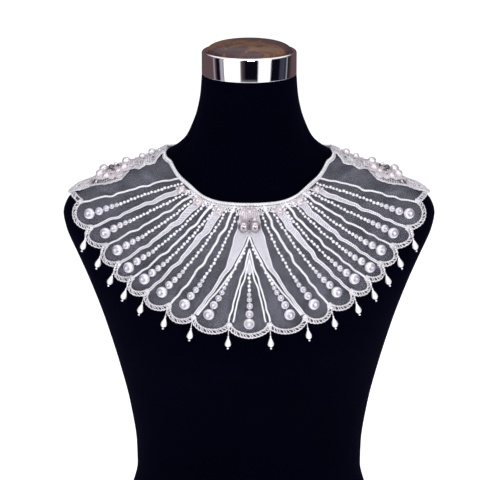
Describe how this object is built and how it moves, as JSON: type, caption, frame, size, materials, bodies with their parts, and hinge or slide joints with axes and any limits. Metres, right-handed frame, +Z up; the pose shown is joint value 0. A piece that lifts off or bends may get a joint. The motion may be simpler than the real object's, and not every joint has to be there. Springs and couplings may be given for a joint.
{
  "type": "bridal shoulder cape on a limbless dress form",
  "caption": "Bridal shoulder cape of white tulle with satin rays, strings of pearls, teardrop beads and lace shoulders, worn by a black velvet limbless dress form with a chrome-banded neck cap.",
  "frame": {"origin": "centre of the dress form's flat base", "axes": "+Z up through the neck cap, the front of the body faces -Y, +X to the viewer's right"},
  "size_m": [0.377, 0.2453, 0.5475],
  "materials": {
    "black_velvet": "pile velvet",
    "chrome": "polished",
    "dark_burl_lacquer": "polished lacquer over a burl pattern",
    "white_tulle": "fine net, partly see-through",
    "satin_thread": "satin stitch and cord",
    "guipure_lace": "corded lace",
    "pearl": "pearl lustre"
  },
  "bodies": {
    "root": {"back_tulle": "white_tulle", "centre_cord_inner": "satin_thread", "centre_cord_outer": "satin_thread", "centre_flower": "pearl", "centre_satin": "satin_thread", "drop_01": "pearl", "drop_02": "pearl", "drop_03": "pearl", "drop_04": "pearl", "drop_05": "pearl", "drop_06": "pearl", "drop_07": "pearl", "drop_08": "pearl", "drop_09": "pearl", "drop_10": "pearl", "drop_11": "pearl", "drop_12": "pearl", "drop_13": "pearl", "drop_14": "pearl", "drop_15": "pearl", "drop_16": "pearl", "edge_cord_left": "satin_thread", "edge_cord_right": "satin_thread", "form_body": "black_velvet", "front_tulle": "white_tulle", "hem_braid": "satin_thread", "neck_binding": "satin_thread", "neck_cap": "dark_burl_lacquer", "neck_ring": "chrome", "pearl_string_01": "pearl", "pearl_string_02": "pearl", "pearl_string_03": "pearl", "pearl_string_04": "pearl", "pearl_string_05": "pearl", "pearl_string_06": "pearl", "pearl_string_07": "pearl", "pearl_string_08": "pearl", "pearl_string_09": "pearl", "pearl_string_10": "pearl", "pearl_string_11": "pearl", "pearl_string_12": "pearl", "pearl_string_13": "pearl", "pearl_string_14": "pearl", "pearl_string_15": "pearl", "pearl_string_16": "pearl", "pearl_string_17": "pearl", "ray_left_1": "satin_thread", "ray_left_2": "satin_thread", "ray_left_3": "satin_thread", "ray_left_4": "satin_thread", "ray_left_5": "satin_thread", "ray_left_6": "satin_thread", "ray_right_1": "satin_thread", "ray_right_2": "satin_thread", "ray_right_3": "satin_thread", "ray_right_4": "satin_thread", "ray_right_5": "satin_thread", "ray_right_6": "satin_thread", "shoulder_lace_left": "guipure_lace", "shoulder_lace_right": "guipure_lace"}
  },
  "joints": []
}
